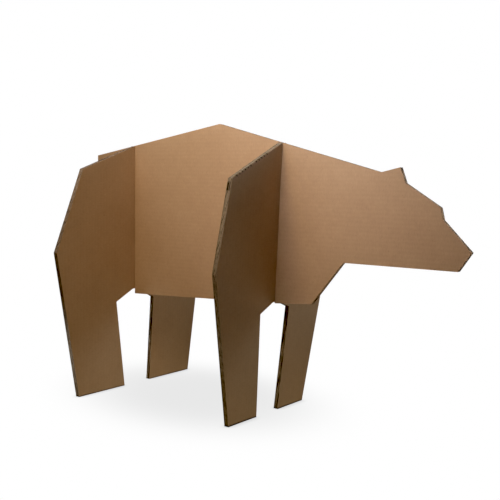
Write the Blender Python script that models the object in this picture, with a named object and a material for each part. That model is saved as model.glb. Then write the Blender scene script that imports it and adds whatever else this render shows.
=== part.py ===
"""A bear on four straight legs, made of three slotted sheets of corrugated board.

The upright body sheet is cut to the bear's side view. Two leg sheets stand
across it, one behind the chest and one at the hips. Each crosses the body in
a half-lap slot: the body's slots open downwards and the legs' slots upwards,
so the body drops onto the legs.

Metres, +Z up, +X towards the head. The origin is on the floor, midway between
the tail end and the tip of the nose, in the middle plane of the body sheet.
"""

import math

import bmesh
import bpy
from mathutils import Vector

# The board and its fits
board_thickness = 0.009
slot_clearance = 0.0003
half_slot_width = 0.5 * board_thickness + slot_clearance

# The body sheet: distances along it run from the tail end, heights from the floor
body_length = 0.8486
body_height = 0.5432
rump_height = 0.2052
rear_belly_height = 0.1927
front_belly_height = 0.208

# The body's outline as shares of its length and of its height, along the back
# from the tail end to the ear, down the face, and back along the jaw and chest
tail_top = (0.0, 0.8924)
hump = (0.3962, 1.0)
ear_back = (0.8070, 0.8331)
ear_tip = (0.8491, 0.8491)
ear_front = (0.8611, 0.8004)
brow = (0.9352, 0.7297)
nose_bridge = (0.9415, 0.6923)
nose_tip = (1.0, 0.6009)
chin = (0.9749, 0.5424)
throat = (0.7276, 0.5417)
chest_foot = (0.6536, 0.3953)
tail_foot = (0.0, 0.63)

# Where the leg sheets stand, measured to the face nearer the head, and how far
# they lean in their slots, at the height where that distance is measured
front_legs_along = 0.4748
rear_legs_along = 0.1148
lean_height = 0.216
front_lean = math.radians(1.96)
rear_lean = math.radians(-0.61)

# The front leg sheet: distances out from its middle and heights from the floor.
# Its two legs were cut by hand and differ by a few millimetres.
front_right_foot_inner = 0.0446
front_right_foot_outer = 0.1289
front_right_groin_out = 0.0482
front_right_groin_height = 0.1927
front_right_crotch_out = 0.0090
front_right_crotch_height = 0.2108
front_right_elbow_out = 0.1833
front_left_foot_inner = 0.0246
front_left_foot_outer = 0.1115
front_left_groin_out = 0.0460
front_left_groin_height = 0.1969
front_left_crotch_out = 0.0129
front_left_crotch_height = 0.2095
front_left_elbow_out = 0.1753
front_elbow_height = 0.2752
front_shoulder_width = 0.3026
front_shoulder_height = 0.4372

# The rear leg sheet, measured the same way
rear_right_foot_inner = 0.0341
rear_right_foot_outer = 0.1602
rear_right_groin_out = 0.0581
rear_left_foot_inner = 0.0411
rear_left_foot_outer = 0.1694
rear_left_groin_out = 0.0532
rear_groin_height = 0.1801
rear_crotch_width = 0.0200
rear_crotch_height = 0.2034
rear_elbow_width = 0.4310
rear_elbow_height = 0.2897
rear_shoulder_width = 0.2976
rear_shoulder_height = 0.4518

# The share of the body's height at a leg sheet that hangs above the half-lap
lap_share = 0.5

# How far the cutting shapes reach past what they cut, and how much longer the
# legs are made before the floor trims them level
cut_overrun = 0.02
sole_allowance = 0.005


def remove_existing_objects():
    for existing in list(bpy.data.objects):
        bpy.data.objects.remove(existing, do_unlink=True)


def board_material(name, colour):
    material = bpy.data.materials.new(name)
    material.use_nodes = True
    shader = material.node_tree.nodes["Principled BSDF"]
    shader.inputs["Base Color"].default_value = (*colour, 1.0)
    shader.inputs["Roughness"].default_value = 0.85
    shader.inputs["Metallic"].default_value = 0.0
    return material


def extruded_outline(name, outline, direction):
    """A closed solid from a flat outline, extruded along one vector."""
    shape = bmesh.new()
    face = shape.faces.new([shape.verts.new(point) for point in outline])
    extruded = bmesh.ops.extrude_face_region(shape, geom=[face])
    moved = [item for item in extruded["geom"] if isinstance(item, bmesh.types.BMVert)]
    bmesh.ops.translate(shape, verts=moved, vec=direction)
    bmesh.ops.recalc_face_normals(shape, faces=shape.faces)
    mesh = bpy.data.meshes.new(name)
    shape.to_mesh(mesh)
    shape.free()
    solid = bpy.data.objects.new(name, mesh)
    bpy.context.scene.collection.objects.link(solid)
    return solid


def box(name, low, high):
    low = Vector(low)
    high = Vector(high)
    base = [
        (low.x, low.y, low.z),
        (high.x, low.y, low.z),
        (high.x, high.y, low.z),
        (low.x, high.y, low.z),
    ]
    return extruded_outline(name, base, (0.0, 0.0, high.z - low.z))


def make_cutter(solid):
    solid.hide_render = True
    solid.display_type = "WIRE"


def cut(solid, cutter):
    modifier = solid.modifiers.new(cutter.name, "BOOLEAN")
    modifier.operation = "DIFFERENCE"
    modifier.solver = "EXACT"
    modifier.object = cutter


def body_point(share):
    """A point of the body's outline, from its shares of length and height."""
    along, height = share
    return Vector(((along - 0.5) * body_length, height * body_height))


def height_on(line, x):
    """The height of a broken line, given as points in order along X, at one X."""
    for start, end in zip(line, line[1:]):
        if x <= end.x:
            break
    return start.y + (end.y - start.y) * (x - start.x) / (end.x - start.x)


class LegSheet:
    """One sheet with a pair of legs: its outline, its place and its half-lap."""

    def __init__(self, name, along, lean, belly_height, right_half, left_half):
        self.name = name
        self.lean = lean
        self.right_half = right_half
        self.left_half = left_half
        self.foot_x = along - 0.5 * body_length
        back = [body_point(tail_top), body_point(hump), body_point(ear_back)]
        nearly_top = height_on(back, self.middle_x(body_height))
        self.top_height = height_on(back, self.middle_x(nearly_top))
        self.lap_height = self.top_height - lap_share * (self.top_height - belly_height)

    def middle_x(self, height):
        """Where the middle of the board's thickness is at a height."""
        return self.foot_x - 0.5 * board_thickness + math.tan(self.lean) * (height - lean_height)

    def place(self, item):
        """Move something made in the sheet's own upright frame to where it stands."""
        item.location = (self.foot_x, 0.0, lean_height)
        item.rotation_euler = (0.0, self.lean, 0.0)

    def peak_height(self):
        """Where the slopes from both shoulders would meet, inside the sheet's slot.

        They reach the body's two faces at the height of its back.
        """
        shoulder_out, shoulder_height = self.right_half[-1]
        slope = (self.top_height - shoulder_height) / (shoulder_out - half_slot_width)
        return shoulder_height + slope * shoulder_out

    def outline(self):
        """The sheet's outline, seen from the head, about its lean height."""
        right = [(-out, height) for out, height in self.right_half]
        left = [(out, height) for out, height in reversed(self.left_half)]
        points = right + [(0.0, self.peak_height())] + left
        return [(0.0, y, height - lean_height) for y, height in points]

    def slot_in_body(self):
        """The cutter for the body's slot, open downwards."""
        low = (-board_thickness - slot_clearance, -board_thickness, -lean_height)
        high = (slot_clearance, board_thickness, self.lap_height + slot_clearance - lean_height)
        cutter = box(self.name + "_slot_in_body", low, high)
        self.place(cutter)
        make_cutter(cutter)
        return cutter

    def slot_in_sheet(self):
        """The cutter for the leg sheet's own slot, open upwards."""
        low = (-board_thickness - cut_overrun, -half_slot_width, self.lap_height - lean_height)
        high = (cut_overrun, half_slot_width, self.top_height + cut_overrun - lean_height)
        cutter = box(self.name + "_slot", low, high)
        self.place(cutter)
        make_cutter(cutter)
        return cutter

    def make(self, material, floor_cutter):
        sheet = extruded_outline(self.name, self.outline(), (-board_thickness, 0.0, 0.0))
        self.place(sheet)
        sheet.data.materials.append(material)
        cut(sheet, self.slot_in_sheet())
        cut(sheet, floor_cutter)
        return sheet


def sole_point(above, foot_out):
    """The edge of a leg carried on from a point above, past the floor."""
    out, height = above
    share = 1.0 + sole_allowance / height
    return (out + (foot_out - out) * share, -sole_allowance)


def half_outline(crotch, groin, foot_inner, foot_outer, elbow, shoulder):
    """One leg's corners, from the crotch down to its foot and up to the shoulder."""
    inner_sole = sole_point(groin, foot_inner)
    outer_sole = sole_point(elbow, foot_outer)
    return [crotch, groin, inner_sole, outer_sole, elbow, shoulder]


def front_sheet():
    shoulder = (0.5 * front_shoulder_width, front_shoulder_height)
    right = half_outline(
        (front_right_crotch_out, front_right_crotch_height),
        (front_right_groin_out, front_right_groin_height),
        front_right_foot_inner,
        front_right_foot_outer,
        (front_right_elbow_out, front_elbow_height),
        shoulder,
    )
    left = half_outline(
        (front_left_crotch_out, front_left_crotch_height),
        (front_left_groin_out, front_left_groin_height),
        front_left_foot_inner,
        front_left_foot_outer,
        (front_left_elbow_out, front_elbow_height),
        shoulder,
    )
    return LegSheet("front_leg_sheet", front_legs_along, front_lean, front_belly_height, right, left)


def rear_sheet():
    crotch = (0.5 * rear_crotch_width, rear_crotch_height)
    elbow = (0.5 * rear_elbow_width, rear_elbow_height)
    shoulder = (0.5 * rear_shoulder_width, rear_shoulder_height)
    right_groin = (rear_right_groin_out, rear_groin_height)
    left_groin = (rear_left_groin_out, rear_groin_height)
    right = half_outline(
        crotch, right_groin, rear_right_foot_inner, rear_right_foot_outer, elbow, shoulder,
    )
    left = half_outline(
        crotch, left_groin, rear_left_foot_inner, rear_left_foot_outer, elbow, shoulder,
    )
    return LegSheet("rear_leg_sheet", rear_legs_along, rear_lean, rear_belly_height, right, left)


def make_body(front, rear, material):
    """The body sheet, standing in the XZ plane, with its two slots."""
    front_x = front.middle_x(front_belly_height)
    rear_x = rear.middle_x(rear_belly_height)
    profile = [body_point(share) for share in (
        tail_foot, tail_top, hump, ear_back, ear_tip, ear_front, brow,
        nose_bridge, nose_tip, chin, throat, chest_foot,
    )]
    # The belly runs between the slots, and the rump's step is inside the rear one.
    profile += [
        Vector((front_x, front_belly_height)),
        Vector((rear_x, rear_belly_height)),
        Vector((rear_x, rump_height)),
    ]
    outline = [(point.x, -0.5 * board_thickness, point.y) for point in profile]
    body = extruded_outline("body_sheet", outline, (0.0, board_thickness, 0.0))
    body.data.materials.append(material)
    cut(body, front.slot_in_body())
    cut(body, rear.slot_in_body())
    return body


def make_bear():
    remove_existing_objects()
    front = front_sheet()
    rear = rear_sheet()
    reach = body_length
    floor_cutter = box("floor_trim", (-reach, -reach, -cut_overrun), (reach, reach, 0.0))
    make_cutter(floor_cutter)
    make_body(front, rear, board_material("body_board", (0.46, 0.29, 0.16)))
    front.make(board_material("front_leg_board", (0.42, 0.26, 0.14)), floor_cutter)
    rear.make(board_material("rear_leg_board", (0.43, 0.27, 0.15)), floor_cutter)


make_bear()
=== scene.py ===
"""The looks of a bear made of three slotted sheets of double-wall corrugated board.

Each packed sheet is replaced by the real build-up of the board: three liners with
two fluted layers between them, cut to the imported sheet's own outline and slot. A rim
of crushed paper closes most of the cut edge, and is torn open in places.
"""

import math

import bmesh
import bpy
import numpy as np
from mathutils import Matrix, Vector, noise


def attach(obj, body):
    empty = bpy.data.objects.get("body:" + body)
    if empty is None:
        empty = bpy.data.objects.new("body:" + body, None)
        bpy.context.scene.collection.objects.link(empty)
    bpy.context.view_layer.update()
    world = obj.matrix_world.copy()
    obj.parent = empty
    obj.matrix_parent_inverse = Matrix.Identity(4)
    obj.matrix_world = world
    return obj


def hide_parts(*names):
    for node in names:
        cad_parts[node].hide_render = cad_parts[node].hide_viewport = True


MM = 0.001
X, Y, Z = Vector((1, 0, 0)), Vector((0, 1, 0)), Vector((0, 0, 1))

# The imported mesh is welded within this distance, and its faces are joined where they
# turn by less than this
WELD_DISTANCE = 0.001 * MM
FLAT_TURN = math.radians(0.5)

# The board's build-up, through its thickness
LINERS = 3
LINER = 0.5 * MM
FLUTE_PAPER = 0.32 * MM
SMALL_FLUTE_SHARE = 0.43

# The two flutes' pitches, how finely each wave is drawn, and how far it wanders, as a
# share of its pitch
SMALL_PITCH = 7.8 * MM
LARGE_PITCH = 8.9 * MM
STEPS_PER_FLUTE = 14
PITCH_WANDER = 0.06
PITCH_WANDER_SCALE = 22.0

# Where in its pitch a wave is highest and lowest
CREST = 0.25
TROUGH = 0.75

# The faces: how far they sink between flute tips, how far and how widely they wander,
# and how finely they are drawn along the flutes and across them
SMALL_WASHBOARD = 0.018 * MM
LARGE_WASHBOARD = 0.030 * MM
FACE_WANDER = 0.08 * MM
FACE_WANDER_SCALE = 0.11
FACE_STEP_ALONG = 18.0 * MM
FACE_STEPS_PER_FLUTE = 6

# How unevenly they sink: the middle share of the full depth, its swing, and how many
# times a metre it changes along the flutes and across them
SINK_SHARE = 0.75
SINK_SWING = 0.5
SINK_SCALES = (9.0, 30.0)

# How far the cutter's faces stand proud of the board, and how far the layers reach past
# its outline before they are cut
CUTTER_PROUD = 0.5 * MM
STACK_MARGIN = 12.0 * MM

# Edges that turn by more than this stay sharp
SHARP_TURN = math.radians(38.0)

# The crushed rim: how finely it is drawn, its gap to the outer liners, its thinnest walls,
# how far in it reaches, how deep it sinks at each flute and how rough it is. An open
# flute is a pocket in it.
RIM_STEP = 1.6 * MM
RIM_GAP = 0.02 * MM
RIM_WALL = 0.06 * MM
RIM_REACH = 10.0 * MM
RIM_SMALL_SINK = 0.30 * MM
RIM_LARGE_SINK = 0.45 * MM
RIM_ROUGH = 0.3 * MM
RIM_ROUGH_SCALE = 420.0
POCKET = 9.5 * MM

# Where the rim is torn open: the scale of the patches, how much noise opens one on an
# edge cut across the flutes and on one cut along them, and the share of the edge's way
# across them that tells the two apart
PATCH_SCALE = 38.0
OPEN_ACROSS = 0.32
OPEN_ALONG = 0.42
ACROSS_LIMIT = 0.45

# The front sheet's right top edge: how high its shoulder is, and between which distances
# out from the sheet's middle the photograph shows open flutes
FRONT_SHOULDER_HEIGHT = 0.4372
FRONT_TEETH = ((0.045, 0.085), (0.093, 0.146))

# The hole in the cut just below that shoulder: how far out it starts and where its
# middle is, and its reach down from the shoulder. A large flute has its crest there.
FRONT_HOLE_OUT = 0.15
FRONT_HOLE_MIDDLE = 0.1537
FRONT_HOLE_BELOW = (0.0055, 0.0190)
HOLE_PHASE = CREST - FRONT_HOLE_MIDDLE / LARGE_PITCH

# The inner edge of each left leg, which is crushed all along: how far out and how high
# it reaches, and how deep it is crushed
LEFT_INNER_EDGE = (0.06, 0.20)
CRUSHED = 1.3 * MM

# The notches that the open flutes leave in the liner over them, and how narrow each is
# at its bottom, as a share of its width at the cut
NOTCH_HALF_WIDTH = 2.1 * MM
NOTCH_DEPTH = 2.8 * MM
NOTCH_TAPER = 0.4

# The body's cut is clean in front of this distance from the middle, on the head
HEAD_FROM = 0.18

# Material slots of every board piece. The fluting paper's slot carries painted shade of
# the board's insides.
FACE, CUT, FLUTE = range(3)

# Each sheet's seed, and what is added to it for its large flutes, for the tears of its
# small flutes and for the wander of its faces
BODY_SEED = 1.0
FRONT_SEED = 11.0
REAR_SEED = 21.0
LARGE_SEED = 1.0
SMALL_TEAR_SEED = 50.0
WANDER_SEED = 5.0


def closed_solid(node):
    """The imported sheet's mesh as one closed solid with its flat sides whole."""
    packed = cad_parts[node].data.copy()
    custom = packed.attributes.get("custom_normal")
    if custom is not None:
        packed.attributes.remove(custom)
    solid = bmesh.new()
    solid.from_mesh(packed)
    bpy.data.meshes.remove(packed)
    bmesh.ops.remove_doubles(solid, verts=solid.verts, dist=WELD_DISTANCE)
    bmesh.ops.dissolve_limit(
        solid, angle_limit=FLAT_TURN, verts=solid.verts, edges=solid.edges,
    )
    bmesh.ops.recalc_face_normals(solid, faces=solid.faces)
    return solid


class Board:
    """Where one packed sheet lies: u along its flutes, v across them, w out of its face."""

    def __init__(self, node, flutes_along, faces_towards):
        self.node = node
        self.solid = closed_solid(node)
        largest = max(self.solid.faces, key=lambda face: face.calc_area())
        w = largest.normal.copy()
        if w.dot(faces_towards) < 0.0:
            w.negate()
        u = (flutes_along - w * flutes_along.dot(w)).normalized()
        v = w.cross(u)
        heights = [vert.co.dot(w) for vert in self.solid.verts]
        self.thickness = max(heights) - min(heights)
        middle = 0.5 * (max(heights) + min(heights))
        self.axes = (u, v, w)
        self.matrix = Matrix.Translation(w * middle) @ Matrix(self.axes).transposed().to_4x4()
        self.solid.transform(self.matrix.inverted())
        self.solid.normal_update()
        corners = np.array([vert.co for vert in self.solid.verts])
        self.low = corners.min(0) - STACK_MARGIN
        self.high = corners.max(0) + STACK_MARGIN
        near_side = max(self.solid.faces, key=lambda face: face.normal.z * face.calc_area())
        self.outline = [vert.co.xy for vert in near_side.verts]
        # The levels of the layers' faces, from the near side's down to the far side's
        half = 0.5 * self.thickness
        between = self.thickness - LINERS * LINER
        self.top = half
        self.small_high = half - LINER
        self.small_low = self.small_high - SMALL_FLUTE_SHARE * between
        self.large_high = self.small_low - LINER
        self.large_low = LINER - half

    def cutter(self):
        """The board's solid with its faces moved a little apart, which uses that solid up."""
        for vert in self.solid.verts:
            vert.co.z += math.copysign(CUTTER_PROUD, vert.co.z)
        for face in self.solid.faces:
            face.material_index = CUT
        made = new_object(self.node + "_cutter", self.solid)
        self.solid.free()
        return made


def new_object(name, shape):
    """An object in the scene from a bmesh."""
    mesh = bpy.data.meshes.new(name)
    shape.to_mesh(mesh)
    made = bpy.data.objects.new(name, mesh)
    bpy.context.scene.collection.objects.link(made)
    return made


def grid_slab(name, us, vs, outer_w, inner_w):
    """A closed slab: its outer side a grid with a height at each point, its inner side flat."""
    shape = bmesh.new()
    rows = [[shape.verts.new((u, v, outer_w(u, v))) for u in us] for v in vs]
    first, last = [
        [shape.verts.new((u, v, inner_w)) for u in (us[0], us[-1])] for v in (vs[0], vs[-1])
    ]
    for lower, upper in zip(rows, rows[1:]):
        for i in range(len(us) - 1):
            face = shape.faces.new((lower[i], lower[i + 1], upper[i + 1], upper[i]))
            face.material_index = FACE
    rest = [
        shape.faces.new((first[0], last[0], last[1], first[1])),
        shape.faces.new([*first, *reversed(rows[0])]),
        shape.faces.new([*reversed(last), *rows[-1]]),
        shape.faces.new([last[0], first[0], *[row[0] for row in rows]]),
        shape.faces.new([first[1], last[1], *[row[-1] for row in reversed(rows)]]),
    ]
    for face in rest:
        face.material_index = FLUTE
    bmesh.ops.recalc_face_normals(shape, faces=shape.faces)
    made = new_object(name, shape)
    shape.free()
    return made


def wave(v, pitch, phase, seed):
    """The angle of a fluted layer's wave at a distance across the flutes."""
    wander = PITCH_WANDER * noise.noise((v * PITCH_WANDER_SCALE, seed, 0.0))
    return 2.0 * math.pi * (v / pitch + phase + wander)


def fluted_ribbon(name, board, pitch, low_w, high_w, phase, seed):
    """A closed ribbon of paper waved across v between two liners, straight along u."""
    middle = 0.5 * (low_w + high_w)
    reach = 0.5 * (high_w - low_w - FLUTE_PAPER)
    count = int((board.high[1] - board.low[1]) / pitch * STEPS_PER_FLUTE)
    shape = bmesh.new()
    rings = []
    for i in range(count + 1):
        v = board.low[1] + i * pitch / STEPS_PER_FLUTE
        angle = wave(v, pitch, phase, seed)
        w = middle + reach * math.sin(angle)
        slope = reach * math.cos(angle) * 2.0 * math.pi / pitch
        across = Vector((0.0, -slope, 1.0)).normalized() * (0.5 * FLUTE_PAPER)
        ring = []
        for u in (board.low[0], board.high[0]):
            at = Vector((u, v, w))
            ring += [shape.verts.new(at - across), shape.verts.new(at + across)]
        rings.append(ring)
    for a, b in zip(rings, rings[1:]):
        shape.faces.new((a[1], a[3], b[3], b[1]))
        shape.faces.new((a[0], b[0], b[2], a[2]))
        shape.faces.new((a[0], a[1], b[1], b[0]))
        shape.faces.new((a[2], b[2], b[3], a[3]))
    for ring in (rings[0], rings[-1]):
        shape.faces.new((ring[0], ring[2], ring[3], ring[1]))
    bmesh.ops.recalc_face_normals(shape, faces=shape.faces)
    for face in shape.faces:
        face.material_index = FLUTE
    made = new_object(name, shape)
    shape.free()
    return made


def steps(low, high, step):
    """Even places from low to high, no more than a step apart."""
    count = max(1, math.ceil((high - low) / step))
    return [low + (high - low) * i / count for i in range(count + 1)]


def washboard(outer, sign, pitch, phase, depth, seed):
    """A face's height: it sinks a little between the flute tips it is glued to."""
    def height(u, v):
        dip = 0.5 - 0.5 * sign * math.sin(wave(v, pitch, phase, seed))
        place = (u * SINK_SCALES[0], v * SINK_SCALES[1], seed)
        uneven = SINK_SHARE + SINK_SWING * noise.noise(place)
        wide_place = (u / FACE_WANDER_SCALE, v / FACE_WANDER_SCALE, seed + WANDER_SEED)
        wander = 0.5 + 0.5 * noise.noise(wide_place)
        return outer - sign * (depth * dip * uneven + FACE_WANDER * max(0.0, wander))
    return height


def board_layers(board, phases, seed):
    """The five layers of the board, wide enough to be cut to the outline."""
    small_phase, large_phase = phases
    large_seed = seed + LARGE_SEED
    us = steps(board.low[0], board.high[0], FACE_STEP_ALONG)
    small_vs = steps(board.low[1], board.high[1], SMALL_PITCH / FACE_STEPS_PER_FLUTE)
    large_vs = steps(board.low[1], board.high[1], LARGE_PITCH / FACE_STEPS_PER_FLUTE)
    ends = [board.low[0], board.high[0]]
    sides = [board.low[1], board.high[1]]
    near = washboard(board.top, 1.0, SMALL_PITCH, small_phase, SMALL_WASHBOARD, seed)
    far = washboard(-board.top, -1.0, LARGE_PITCH, large_phase, LARGE_WASHBOARD, large_seed)
    small = (SMALL_PITCH, board.small_low, board.small_high, small_phase, seed)
    large = (LARGE_PITCH, board.large_low, board.large_high, large_phase, large_seed)
    return [
        grid_slab("near_liner", us, small_vs, near, board.small_high),
        grid_slab("far_liner", us, large_vs, far, board.large_low),
        grid_slab("middle_liner", ends, sides, lambda u, v: board.small_low, board.large_high),
        fluted_ribbon("small_flutes", board, *small),
        fluted_ribbon("large_flutes", board, *large),
    ]


def cut_to(layer, cutter, operation="INTERSECT"):
    """Keeps what lies inside the cutter, or else outside it, and applies the cut."""
    modifier = layer.modifiers.new("cut", "BOOLEAN")
    modifier.operation = operation
    modifier.solver = "EXACT"
    modifier.material_mode = "INDEX"
    modifier.object = cutter
    evaluated = layer.evaluated_get(bpy.context.evaluated_depsgraph_get())
    mesh = bpy.data.meshes.new_from_object(evaluated)
    layer.modifiers.clear()
    layer.data = mesh


def tooth_notches(board):
    """Wedges over the near flutes that are open along the front sheet's right top edge."""
    corners = board.outline
    on_right = [
        (start, end) for start, end in zip(corners, corners[1:] + corners[:1])
        if start.y > 0.0 and end.y > 0.0
    ]
    start, end = max(on_right, key=lambda pair: pair[0].x + pair[1].x)
    along = (end - start).normalized()
    inward = Vector((-along.y, along.x))
    shape = bmesh.new()
    for k in range(int(FRONT_TEETH[-1][1] / SMALL_PITCH) + 1):
        out = (k + TROUGH) * SMALL_PITCH
        if not any(low < out < high for low, high in FRONT_TEETH):
            continue
        at = start.lerp(end, (out - start.y) / (end.y - start.y))
        outside = at - inward * CUTTER_PROUD
        tip = at + inward * NOTCH_DEPTH
        half = along * NOTCH_HALF_WIDTH
        wedge = (outside - half, outside + half, tip + half * NOTCH_TAPER, tip - half * NOTCH_TAPER)
        levels = (board.small_high - RIM_GAP, board.top + CUTTER_PROUD)
        lower, upper = [[shape.verts.new((*point, w)) for point in wedge] for w in levels]
        shape.faces.new(reversed(lower))
        shape.faces.new(upper)
        for i in range(len(wedge)):
            j = (i + 1) % len(wedge)
            shape.faces.new((lower[i], lower[j], upper[j], upper[i]))
    for face in shape.faces:
        face.material_index = CUT
    bmesh.ops.recalc_face_normals(shape, faces=shape.faces)
    made = new_object("tooth_notches", shape)
    shape.free()
    return made


def inward_ways(corners):
    """For each edge, the way in from it; for each corner, the way that keeps both distances."""
    edges = []
    for start, end in zip(corners, corners[1:] + corners[:1]):
        along = (end - start).normalized()
        edges.append(Vector((-along.y, along.x)))
    turns = []
    for before, after in zip(edges[-1:] + edges[:-1], edges):
        turns.append((before + after) / (1.0 + before.dot(after)))
    return edges, turns


def torn(at, across, flute_seed):
    """Whether a flute is torn open at a point of the rim: seldom where the cut runs along it."""
    patch = noise.noise(at * PATCH_SCALE + Vector((flute_seed, 0.0, 0.0)))
    return patch > (OPEN_ACROSS if across > ACROSS_LIMIT else OPEN_ALONG)


def torn_at_random(seed):
    """A rule for the rim: a set of names for what is open at a point.

    The near half of the small flute is "small" and its far half "lower small". Other
    rules also use "crushed", for a rim that is closed but lies deeper.
    """
    def rule(at, across):
        opened = set()
        if torn(at, across, seed):
            opened.add("large")
        if torn(at, across, seed + SMALL_TEAR_SEED):
            opened.add("small")
        return opened
    return rule


def torn_behind_head(seed):
    """The same for the body sheet, whose head is cut clean."""
    elsewhere = torn_at_random(seed)

    def rule(at, across):
        return set() if at.x > HEAD_FROM else elsewhere(at, across)
    return rule


def legs_as_pictured(seed):
    """The same for a leg sheet: no flute is open on the side edges that the camera sees."""
    elsewhere = torn_at_random(seed)

    def rule(at, across):
        if across < ACROSS_LIMIT and at.y < 0.0:
            return set()
        if across < ACROSS_LIMIT and at.y < LEFT_INNER_EDGE[0] and at.z < LEFT_INNER_EDGE[1]:
            return {"crushed"}
        return elsewhere(at, across)
    return rule


def shoulder_as_pictured(seed):
    """The same for the front sheet, whose right top edge and shoulder are the photograph's."""
    elsewhere = legs_as_pictured(seed)

    def rule(at, across):
        out = -at.y
        below = FRONT_SHOULDER_HEIGHT - at.z
        if across > ACROSS_LIMIT and out > 0.0 and below < 0.0:
            between_tips = math.sin(wave(out, SMALL_PITCH, 0.0, seed)) < 0.0
            in_teeth = any(low < out < high for low, high in FRONT_TEETH)
            return {"small", "lower small"} if between_tips and in_teeth else set()
        if out > FRONT_HOLE_OUT and below < FRONT_HOLE_BELOW[1]:
            return {"large", "lower small"} if below > FRONT_HOLE_BELOW[0] else set()
        return elsewhere(at, across)
    return rule


def rim_levels(board):
    """The rim's levels through the thickness, and which flute each one closes.

    The small flute's rim has two halves, because one can be open and the other closed.
    """
    small_middle = 0.5 * (board.small_low + board.small_high)
    large_step = (board.large_high - board.large_low) / 3.0
    return [
        (board.large_low + RIM_GAP, None),
        (board.large_low + RIM_WALL, "large"),
        (board.large_low + large_step, "large"),
        (board.large_high - large_step, "large"),
        (board.large_high - RIM_WALL, "large"),
        (board.large_high, None),
        (board.small_low, None),
        (board.small_low + RIM_WALL, "lower small"),
        (small_middle, "lower small"),
        (small_middle + RIM_WALL, "small"),
        (board.small_high - RIM_WALL, "small"),
        (board.small_high - RIM_GAP, None),
    ]


def rim_depth(at, w, flute, opened, seed):
    """How far in from the cut the rim lies at one of its levels."""
    if flute in opened:
        return POCKET
    if flute and "crushed" in opened:
        return CRUSHED
    sink = RIM_LARGE_SINK if flute == "large" else RIM_SMALL_SINK
    rough = noise.noise(at * RIM_ROUGH_SCALE + Vector((seed, w / MM, 0.0)))
    return max(RIM_SMALL_SINK, sink + RIM_ROUGH * rough)


def rim(name, board, rule, seed):
    """The closed band of crushed paper behind the cut, all round the sheet."""
    edges, turns = inward_ways(board.outline)
    levels = rim_levels(board)
    count = len(board.outline)
    shape = bmesh.new()
    rings = []
    pockets = []
    for i in range(count):
        start, end = board.outline[i], board.outline[(i + 1) % count]
        across = abs(edges[i].x)
        stations = max(1, round((end - start).length / RIM_STEP))
        for j in range(stations):
            share = j / stations
            point = start.lerp(end, share)
            inward = turns[i].lerp(turns[(i + 1) % count], share)
            at = board.matrix @ Vector((point.x, point.y, 0.0))
            opened = rule(at, across)
            depths = [rim_depth(at, w, flute, opened, seed) for w, flute in levels]
            ring = [
                shape.verts.new((*(point + inward * depth), w))
                for depth, (w, flute) in zip(depths, levels)
            ]
            for w in (levels[-1][0], levels[0][0]):
                ring.append(shape.verts.new((*(point + inward * RIM_REACH), w)))
            rings.append(ring)
            pockets.append([depth == POCKET for depth in depths] + [True, True])
    for i, ring in enumerate(rings):
        following = rings[(i + 1) % len(rings)]
        for k in range(len(ring)):
            above = (k + 1) % len(ring)
            face = shape.faces.new((ring[k], following[k], following[above], ring[above]))
            # A face in an open pocket takes the fluting paper, whose colour is painted shade
            face.material_index = FLUTE if pockets[i][k] or pockets[i][above] else CUT
    bmesh.ops.recalc_face_normals(shape, faces=shape.faces)
    made = new_object(name, shape)
    shape.free()
    return made


def shade(shape):
    """Smooth shading with the sharp edges marked."""
    for face in shape.faces:
        face.smooth = True
    for edge in shape.edges:
        edge.smooth = len(edge.link_faces) == 2 and edge.calc_face_angle(0.0) < SHARP_TURN


def make_board(name, board, phases, rule, cut_with_painted_light, seed, notches=None):
    """One sheet of board in one piece: its layers, cut out and notched, and its rim.

    Its cut colour holds painted light and shade.
    """
    papers = [
        face_paper(name, board),
        cut_paper(name, board, cut_with_painted_light),
        flute_paper(name, board),
    ]
    whole = bmesh.new()
    band = rim(name + "_rim", board, rule, seed)
    whole.from_mesh(band.data)
    bpy.data.objects.remove(band)
    cutter = board.cutter()
    for layer in board_layers(board, phases, seed):
        for paper in papers:
            layer.data.materials.append(paper)
        cut_to(layer, cutter)
        if notches and layer.name == "near_liner":
            cut_to(layer, notches, "DIFFERENCE")
            bpy.data.objects.remove(notches)
        whole.from_mesh(layer.data)
        bpy.data.objects.remove(layer)
    bpy.data.objects.remove(cutter)
    shade(whole)
    whole.transform(board.matrix)
    piece = new_object(name, whole)
    whole.free()
    for paper in papers:
        piece.data.materials.append(paper)
    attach(piece, "root")
    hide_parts(board.node)
    return piece


# The colour sockets of a Mix node, whose other sockets share their names
MIX_A, MIX_B, MIX_RESULT = 6, 7, 2


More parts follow.
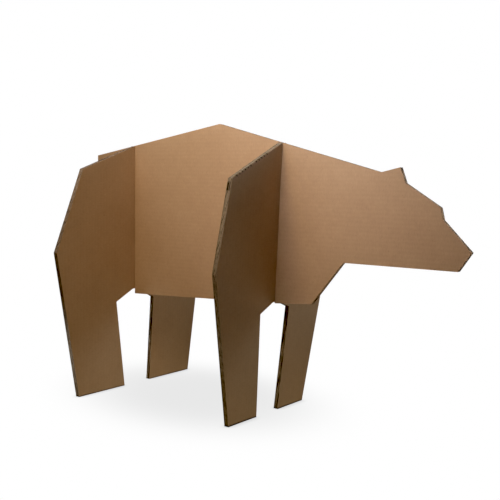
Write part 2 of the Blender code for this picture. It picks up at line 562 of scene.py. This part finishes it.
class Paint:
    """One node material while it is made."""

    def __init__(self, name):
        self.material = bpy.data.materials.new(name)
        self.material.use_nodes = True
        self.nodes = self.material.node_tree.nodes
        self.links = self.material.node_tree.links
        self.shader = self.nodes["Principled BSDF"]

    def node(self, kind, **settings):
        """A new shader node with its settings."""
        made = self.nodes.new("ShaderNode" + kind)
        for key, value in settings.items():
            setattr(made, key, value)
        return made

    def put(self, value, socket):
        """Links an output to a socket, or sets a plain number or colour on it."""
        if isinstance(value, bpy.types.NodeSocket):
            self.links.new(value, socket)
        else:
            socket.default_value = value

    def combine(self, operation, a, b):
        """Two numbers joined by one operation."""
        made = self.node("Math", operation=operation)
        self.put(a, made.inputs[0])
        self.put(b, made.inputs[1])
        return made.outputs[0]

    def sheet_place(self, axes, squeeze=(1.0, 1.0, 1.0)):
        """The place in the sheet's own axes, squeezed along each to draw a pattern out."""
        place = self.node("TexCoord").outputs["Object"]
        joined = self.node("CombineXYZ")
        for axis, factor, socket in zip(axes, squeeze, joined.inputs):
            along = self.node("VectorMath", operation="DOT_PRODUCT")
            self.put(place, along.inputs[0])
            self.put(axis * factor, along.inputs[1])
            self.put(along.outputs["Value"], socket)
        return joined.outputs[0]

    def noise(self, place, scale, detail, roughness):
        """A cloudy pattern with values about PATTERN_MIDDLE."""
        made = self.node("TexNoise")
        self.put(place, made.inputs["Vector"])
        self.put(scale, made.inputs["Scale"])
        self.put(detail, made.inputs["Detail"])
        self.put(roughness, made.inputs["Roughness"])
        return made.outputs["Fac"]

    def span(self, value, low, high, to_low, to_high):
        """A value between low and high, carried over to another span."""
        made = self.node("MapRange")
        for number, socket in zip((value, low, high, to_low, to_high), made.inputs):
            self.put(number, socket)
        return made.outputs[0]

    def ramp(self, value, stops):
        """A colour for a value, from (value, colour) stops in order."""
        made = self.node("ValToRGB")
        self.put(value, made.inputs[0])
        elements = made.color_ramp.elements
        while len(elements) < len(stops):
            elements.new(1.0)
        for element, (place, colour) in zip(elements, stops):
            element.position = place
            element.color = (*colour, 1.0)
        return made.outputs[0]

    def darken(self, colour, factor, shade):
        """A colour multiplied by a darker one, as far as the factor says."""
        made = self.node("Mix", data_type="RGBA", blend_type="MULTIPLY")
        self.put(factor, made.inputs["Factor"])
        self.put(colour, made.inputs[MIX_A])
        self.put((*shade, 1.0), made.inputs[MIX_B])
        return made.outputs[MIX_RESULT]

    def bump(self, height, strength, distance):
        """Makes a pattern stand out of the surface in the light."""
        made = self.node("Bump")
        self.put(strength, made.inputs["Strength"])
        self.put(distance, made.inputs["Distance"])
        self.put(height, made.inputs["Height"])
        self.put(made.outputs[0], self.shader.inputs["Normal"])


# The liner's colours, by its tone: patches of the same brown kraft paper
KRAFT_TONES = (
    (0.25, (0.440, 0.262, 0.134)),
    (0.50, (0.500, 0.304, 0.160)),
    (0.75, (0.556, 0.346, 0.188)),
)

# The crushed cut's colours, one for each sheet of the same board, holding painted light
# and shade: the body's is lighter than its own liner, as painted light on its edges, and
# the leg sheets' are darker, with painted shade of the hollows in their cut. Then how much
# darker and lighter the cut gets with its tone
BODY_CUT_AND_PAINTED_LIGHT = (0.57, 0.39, 0.245)
FRONT_CUT_AND_PAINTED_SHADE = (0.270, 0.195, 0.118)
REAR_CUT_AND_PAINTED_SHADE = (0.300, 0.215, 0.145)
CUT_TONES = ((0.34, 0.70), (0.64, 1.30))

# The fluting paper's colours, by its grain: far darker than the paper itself, as painted
# shade inside the flutes and the open pockets of the rim
FLUTE_PAINTED_SHADE_TONES = (
    (0.3, (0.030, 0.020, 0.013)),
    (0.7, (0.080, 0.053, 0.033)),
)

# The noise patterns: scale per metre, detail and roughness
CLOUDS = (7.0, 4.0, 0.55)
MOTTLE = (75.0, 3.0, 0.6)
FIBRES = (420.0, 4.0, 0.7)
FLECKS = (760.0, 2.0, 0.6)
COARSE_TEAR = (160.0, 4.0, 0.65)
FINE_TEAR = (1400.0, 3.0, 0.6)
GRAIN = (520.0, 4.0, 0.6)
PATTERN_MIDDLE = 0.5

# How far a pattern's place is squeezed along the flutes, across them and through the board
FIBRE_SQUEEZE = (1.0, 0.30, 1.0)
FLECK_SQUEEZE = (1.0, 0.35, 1.0)
TEAR_SQUEEZE = (1.0, 1.0, 0.35)
GRAIN_SQUEEZE = (0.2, 1.0, 1.0)

# The weights of the patterns in a tone
CLOUD_WEIGHT = 0.6
MOTTLE_WEIGHT = 0.32
FIBRE_WEIGHT = 0.5
BAND_WEIGHT = 0.05
COARSE_WEIGHT = 0.6
FINE_WEIGHT = 0.4

# The faint bands over the flutes. A wave texture has 20 / (2 pi) bands per metre at scale 1.
BAND_SCALE = 2.0 * math.pi / (20.0 * SMALL_PITCH)
BAND_DISTORTION = 1.6
BAND_DETAIL_SCALE = 2.0

# The dark flecks: where in their pattern they start and are full, how strong they are
# there, and their shade
FLECK_SPAN = (0.66, 0.74)
FLECK_STRENGTH = (0.0, 0.55)
FLECK_SHADE = (0.62, 0.55, 0.48)

# The papers' roughness, over the middle of a pattern, and their gloss
ROUGH_SPAN = (0.3, 0.7)
FACE_ROUGHNESS = (0.60, 0.72)
CUT_ROUGHNESS = (0.8, 0.95)
FLUTE_ROUGHNESS = (0.82, 0.95)
FACE_GLOSS = 0.6
RAW_GLOSS = 0.2

# The papers' bump: strength and height
FACE_BUMP = (0.25, 0.06 * MM)
CUT_BUMP = (0.6, 0.2 * MM)
FLUTE_BUMP = (0.4, 0.08 * MM)


def face_paper(name, board):
    """Brown kraft liner: clouds, mottling, fibres across the flutes and faint bands over them."""
    paint = Paint(name + "_face")
    place = paint.sheet_place(board.axes)
    clouds = paint.noise(place, *CLOUDS)
    mottle = paint.noise(place, *MOTTLE)
    fibres = paint.noise(paint.sheet_place(board.axes, FIBRE_SQUEEZE), *FIBRES)
    bands = paint.node("TexWave", wave_type="BANDS", bands_direction="Y")
    paint.put(place, bands.inputs["Vector"])
    paint.put(BAND_SCALE, bands.inputs["Scale"])
    paint.put(BAND_DISTORTION, bands.inputs["Distortion"])
    paint.put(BAND_DETAIL_SCALE, bands.inputs["Detail Scale"])
    tone = PATTERN_MIDDLE
    for pattern, weight in (
        (clouds, CLOUD_WEIGHT),
        (mottle, MOTTLE_WEIGHT),
        (fibres, FIBRE_WEIGHT),
        (bands.outputs["Fac"], BAND_WEIGHT),
    ):
        swing = paint.combine("SUBTRACT", pattern, PATTERN_MIDDLE)
        tone = paint.combine("ADD", tone, paint.combine("MULTIPLY", swing, weight))
    kraft = paint.ramp(tone, KRAFT_TONES)
    flecks = paint.noise(paint.sheet_place(board.axes, FLECK_SQUEEZE), *FLECKS)
    strength = paint.span(flecks, *FLECK_SPAN, *FLECK_STRENGTH)
    paint.put(paint.darken(kraft, strength, FLECK_SHADE), paint.shader.inputs["Base Color"])
    roughness = paint.span(mottle, *ROUGH_SPAN, *FACE_ROUGHNESS)
    paint.put(roughness, paint.shader.inputs["Roughness"])
    paint.put(FACE_GLOSS, paint.shader.inputs["Specular IOR Level"])
    paint.bump(fibres, *FACE_BUMP)
    return paint.material


def cut_paper(name, board, cut_with_painted_light):
    """The cut and crushed ends of the papers: duller, torn fibres, streaked through the board.

    The sheet's cut colour holds painted light and shade.
    """
    paint = Paint(name + "_cut")
    place = paint.sheet_place(board.axes, TEAR_SQUEEZE)
    coarse = paint.noise(place, *COARSE_TEAR)
    fine = paint.noise(place, *FINE_TEAR)
    coarse_share = paint.combine("MULTIPLY", coarse, COARSE_WEIGHT)
    fine_share = paint.combine("MULTIPLY", fine, FINE_WEIGHT)
    tone = paint.combine("ADD", coarse_share, fine_share)
    # The sheet's cut colour, with its painted light and shade, darker and lighter with the tone
    stops = [
        (at, tuple(channel * factor for channel in cut_with_painted_light)) for at, factor in CUT_TONES
    ]
    paint.put(paint.ramp(tone, stops), paint.shader.inputs["Base Color"])
    roughness = paint.span(coarse, *ROUGH_SPAN, *CUT_ROUGHNESS)
    paint.put(roughness, paint.shader.inputs["Roughness"])
    paint.put(RAW_GLOSS, paint.shader.inputs["Specular IOR Level"])
    paint.bump(tone, *CUT_BUMP)
    return paint.material


def flute_paper(name, board):
    """The fluting paper inside: thinner and duller than the liners, and darkened with painted shade
    of the board's insides.
    """
    paint = Paint(name + "_flute")
    grain = paint.noise(paint.sheet_place(board.axes, GRAIN_SQUEEZE), *GRAIN)
    paint.put(paint.ramp(grain, FLUTE_PAINTED_SHADE_TONES), paint.shader.inputs["Base Color"])
    roughness = paint.span(grain, *ROUGH_SPAN, *FLUTE_ROUGHNESS)
    paint.put(roughness, paint.shader.inputs["Roughness"])
    paint.put(RAW_GLOSS, paint.shader.inputs["Specular IOR Level"])
    paint.bump(grain, *FLUTE_BUMP)
    return paint.material


# The camera: where it stands, which way it looks, and how long its lens is, from the
# photograph's focal length and width in pixels
CAMERA_AT = (0.8915, -1.2384, 0.4234)
CAMERA_YAW = math.radians(-36.114)
CAMERA_PITCH = math.radians(-4.464)
CAMERA_ROLL = math.radians(1.216)
FOCAL_PIXELS = 808.33
PHOTO_PIXELS = 500.0
SENSOR_WIDTH = 36.0
CLIP_START = 0.05


def add_camera():
    """The camera at the photograph's point of view."""
    ahead = Vector((
        math.sin(CAMERA_YAW) * math.cos(CAMERA_PITCH),
        math.cos(CAMERA_YAW) * math.cos(CAMERA_PITCH),
        math.sin(CAMERA_PITCH),
    ))
    level = Vector((math.cos(CAMERA_YAW), -math.sin(CAMERA_YAW), 0.0))
    upright = level.cross(ahead)
    right = level * math.cos(CAMERA_ROLL) + upright * math.sin(CAMERA_ROLL)
    up = upright * math.cos(CAMERA_ROLL) - level * math.sin(CAMERA_ROLL)
    data = bpy.data.cameras.new("camera")
    data.sensor_width = SENSOR_WIDTH
    data.lens = FOCAL_PIXELS / PHOTO_PIXELS * SENSOR_WIDTH
    data.clip_start = CLIP_START
    camera = bpy.data.objects.new("camera", data)
    bpy.context.scene.collection.objects.link(camera)
    turn = Matrix((right, up, -ahead)).transposed().to_4x4()
    camera.matrix_world = Matrix.Translation(CAMERA_AT) @ turn
    bpy.context.scene.camera = camera


# A target in the middle of the object, and the height of the lights that lie on the floor
MIDDLE = (0.0, 0.0, 0.3)
FLOOR_LIGHT = 0.002

# The lights' spreads and tints
WIDE = math.pi
NARROW = math.radians(40.0)
BEAM = math.radians(24.0)
THIN = math.radians(16.0)
NEUTRAL = (1.0, 1.0, 1.0)
COOL = (0.98, 1.0, 1.15)
PINK = (1.05, 1.0, 1.17)
PALE_BLUE = (0.82, 1.0, 1.20)
BLUE = (0.55, 1.0, 1.60)
YELLOW = (1.10, 1.0, 0.80)
GOLD = (1.17, 1.0, 0.69)

# Each light's place, what it points at, its side, watts, spread and tint. Those named
# after edges are for single cut edges.
SOFTBOXES = {
    "over_back": ((-0.3, -0.25, 0.95), MIDDLE, 0.35, 2.25, WIDE, COOL),
    "over_middle": ((-0.1, -0.5, 1.1), (-0.05, 0.0, 0.3), 0.16, 2.80, WIDE, GOLD),
    "over_head": ((0.2, -0.2, 0.85), (0.1, 0.0, 0.3), 0.16, 0.50, WIDE, BLUE),
    "shoulder_spot": ((0.2, -0.9, 1.2), (0.05, 0.0, 0.6), 0.5, 0.115, NARROW, GOLD),
    "neck_spot": ((0.2, -0.9, 1.2), (0.2, 0.0, 0.5), 0.5, 0.46, NARROW, PINK),
    "rear_edges": ((-0.45, -0.9, 0.01), (-0.315, -0.14, 0.07), 0.1, 0.035, THIN, PALE_BLUE),
    "front_edges": ((-0.1, -0.5, 0.01), (0.035, -0.165, 0.13), 0.1, 0.0042, BEAM, PALE_BLUE),
    "head_edges": ((0.75, 0.2, 0.30), (0.38, 0.0, 0.405), 0.1, 0.028, BEAM, NEUTRAL),
    "far_side": ((0.5, 0.8, 0.8), MIDDLE, 0.5, 2.80, WIDE, PALE_BLUE),
    "far_ahead": ((1.5, 1.5, 0.7), (0.75, 0.0, 0.3), 0.5, 0.80, WIDE, NEUTRAL),
    "floor_under": ((0.0, -0.2, FLOOR_LIGHT), (0.0, -0.2, 1.0), 0.8, 0.67, WIDE, YELLOW),
    "floor_ahead": ((0.8, 0.6, FLOOR_LIGHT), (0.8, 0.6, 1.0), 0.8, 2.85, WIDE, NEUTRAL),
    "behind": ((-1.5, 0.9, 0.9), MIDDLE, 0.8, 12.0, WIDE, NEUTRAL),
}

# The picture's black point, which deepens the shadows as in the photograph
BLACK_POINT = 0.02


def add_softbox(name, place, target, side, watts, spread, tint):
    """A square area light that the camera doesn't see."""
    data = bpy.data.lights.new(name, "AREA")
    data.size = side
    data.energy = watts
    data.color = tint
    data.spread = spread
    lamp = bpy.data.objects.new(name, data)
    lamp.location = place
    lamp.rotation_euler = (Vector(target) - Vector(place)).to_track_quat("-Z", "Y").to_euler()
    lamp.visible_camera = False
    bpy.context.scene.collection.objects.link(lamp)


# The floor, and the soft oval shadow under the object: its middle, its way round, its
# half length and half width, how dark it gets and how suddenly it ends
FLOOR_SIZE = 20.0
SHADOW_MIDDLE = Vector((-0.152, 0.014, 0.0))
SHADOW_TURN = math.radians(-17.8)
SHADOW_REACH = (0.281, 0.207)
SHADOW_DEPTH = 0.19
SHADOW_EDGE = 4.14

# The painted contact shade, a darker line close under the soles: its reach, its tone,
# and the share of open sky from which the floor is white again
CONTACT_REACH = 0.02
CONTACT_TONE = (0.55, 0.55, 0.55)
CONTACT_OPEN = 0.9
CONTACT_SAMPLES = 16
WHITE = (1.0, 1.0, 1.0)


def add_floor():
    """A white floor that shows a soft shadow close to the object, and casts no light."""
    paint = Paint("floor")
    paint.nodes.remove(paint.shader)
    along = Vector((math.cos(SHADOW_TURN), math.sin(SHADOW_TURN), 0.0))
    axes = (along / SHADOW_REACH[0], Z.cross(along) / SHADOW_REACH[1], Z)
    offset = paint.node("VectorMath", operation="SUBTRACT")
    paint.put(paint.sheet_place(axes), offset.inputs[0])
    paint.put([axis.dot(SHADOW_MIDDLE) for axis in axes], offset.inputs[1])
    away = paint.node("VectorMath", operation="LENGTH")
    paint.put(offset.outputs[0], away.inputs[0])
    falling = paint.combine("POWER", away.outputs["Value"], SHADOW_EDGE)
    fade = paint.combine("POWER", math.e, paint.combine("MULTIPLY", falling, -1.0))
    tone = paint.combine("SUBTRACT", 1.0, paint.combine("MULTIPLY", fade, SHADOW_DEPTH))
    near = paint.node("AmbientOcclusion", samples=CONTACT_SAMPLES)
    paint.put(CONTACT_REACH, near.inputs["Distance"])
    contact = paint.ramp(near.outputs["AO"], ((0.0, CONTACT_TONE), (CONTACT_OPEN, WHITE)))
    glow = paint.node("Emission")
    paint.put(contact, glow.inputs["Color"])
    paint.put(tone, glow.inputs["Strength"])
    paint.put(glow.outputs[0], paint.nodes["Material Output"].inputs["Surface"])
    bpy.ops.mesh.primitive_plane_add(size=FLOOR_SIZE)
    floor = bpy.context.object
    floor.name = "floor"
    floor.data.materials.append(paint.material)
    floor.visible_diffuse = False
    floor.visible_glossy = False


def add_studio():
    """A white background that only the camera sees, the lights and the picture's tone."""
    world = bpy.data.worlds.new("studio")
    bpy.context.scene.world = world
    world.use_nodes = True
    background = world.node_tree.nodes["Background"]
    background.inputs["Color"].default_value = (*WHITE, 1.0)
    background.inputs["Strength"].default_value = 1.0
    world.cycles_visibility.diffuse = False
    world.cycles_visibility.glossy = False
    for name, settings in SOFTBOXES.items():
        add_softbox(name, *settings)
    view = bpy.context.scene.view_settings
    view.view_transform = "Standard"
    view.use_curve_mapping = True
    view.curve_mapping.black_level = (BLACK_POINT, BLACK_POINT, BLACK_POINT)
    view.curve_mapping.update()


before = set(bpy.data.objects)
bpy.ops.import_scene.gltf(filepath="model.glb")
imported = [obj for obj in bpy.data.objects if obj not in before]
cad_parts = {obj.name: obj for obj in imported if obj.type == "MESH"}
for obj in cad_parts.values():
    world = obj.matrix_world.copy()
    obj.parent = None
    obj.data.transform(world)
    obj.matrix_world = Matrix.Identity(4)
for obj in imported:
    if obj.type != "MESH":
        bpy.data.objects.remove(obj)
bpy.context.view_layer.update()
add_camera()
add_floor()
add_studio()

body_board = Board("body_sheet", X, -Y)
body = make_board(
    "body_board", body_board, (0.0, 0.0), torn_behind_head(BODY_SEED), BODY_CUT_AND_PAINTED_LIGHT, BODY_SEED,
)
front_board = Board("front_leg_sheet", Z, X)
front = make_board(
    "front_leg_board", front_board, (0.0, HOLE_PHASE), shoulder_as_pictured(FRONT_SEED),
    FRONT_CUT_AND_PAINTED_SHADE, FRONT_SEED, tooth_notches(front_board),
)
rear_board = Board("rear_leg_sheet", Z, X)
rear = make_board(
    "rear_leg_board", rear_board, (0.0, 0.0), legs_as_pictured(REAR_SEED), REAR_CUT_AND_PAINTED_SHADE, REAR_SEED,
)
